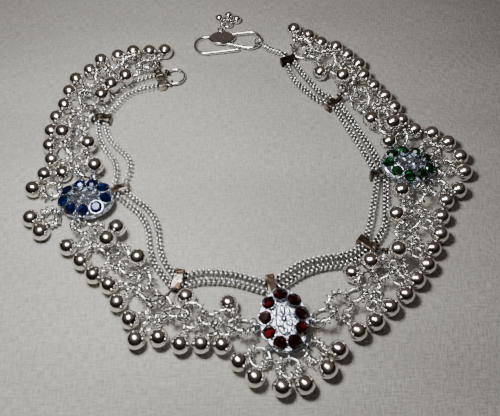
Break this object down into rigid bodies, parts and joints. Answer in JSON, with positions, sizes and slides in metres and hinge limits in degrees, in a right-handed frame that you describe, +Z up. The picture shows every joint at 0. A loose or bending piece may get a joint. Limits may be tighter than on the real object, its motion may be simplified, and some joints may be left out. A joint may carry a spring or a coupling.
{
  "type": "anklet",
  "caption": "Unfastened belled anklet lying open: two woven strands in scallops, rows of linked rings with round bells, oval stone-set medallions and a wire hook clasp.",
  "frame": {"origin": "under the middle of the anklet's bounding box, on the surface it lies on", "axes": "+X to the right and +Y away as the anklet lies with its clasp at the far side, +Z up from the surface"},
  "size_m": [0.1302, 0.1352, 0.0093],
  "materials": {
    "woven_silver": "bright woven silver wire",
    "bell_silver": "mirror-polished silver",
    "setting_silver": "bright cast silver with a light satin",
    "wire_silver": "polished drawn silver wire",
    "sheet_silver": "polished silver sheet",
    "blue_stones": "deep blue faceted glass",
    "red_stones": "dark red faceted glass",
    "green_stones": "dark green faceted glass"
  },
  "bodies": {
    "root": {"blue_fan_bells": "bell_silver", "blue_fan_rings": "wire_silver", "blue_joint_clip": "sheet_silver", "blue_link": "wire_silver", "blue_setting": "setting_silver", "blue_stones": "blue_stones", "catch_ring": "wire_silver", "clasp_bells": "bell_silver", "clasp_chain": "woven_silver", "clasp_hook": "wire_silver", "clasp_rings": "wire_silver", "end_cap_inner": "sheet_silver", "end_cap_outer": "sheet_silver", "green_fan_bells": "bell_silver", "green_fan_rings": "wire_silver", "green_joint_clip": "sheet_silver", "green_link": "wire_silver", "green_setting": "setting_silver", "green_stones": "green_stones", "joint_cap": "sheet_silver", "red_fan_bells": "bell_silver", "red_fan_rings": "wire_silver", "red_joint_clip": "sheet_silver", "red_link": "wire_silver", "red_setting": "setting_silver", "red_stones": "red_stones", "row_1_bells": "bell_silver", "row_1_drop_rings": "wire_silver", "row_1_rings": "wire_silver", "row_2_bells": "bell_silver", "row_2_drop_rings": "wire_silver", "row_2_rings": "wire_silver", "row_3_bells": "bell_silver", "row_3_drop_rings": "wire_silver", "row_3_rings": "wire_silver", "row_4_bells": "bell_silver", "row_4_drop_rings": "wire_silver", "row_4_rings": "wire_silver", "spacer_1": "sheet_silver", "spacer_2": "sheet_silver", "spacer_3": "sheet_silver", "spacer_4": "sheet_silver", "strand_inner": "woven_silver", "strand_outer": "woven_silver"}
  },
  "joints": []
}
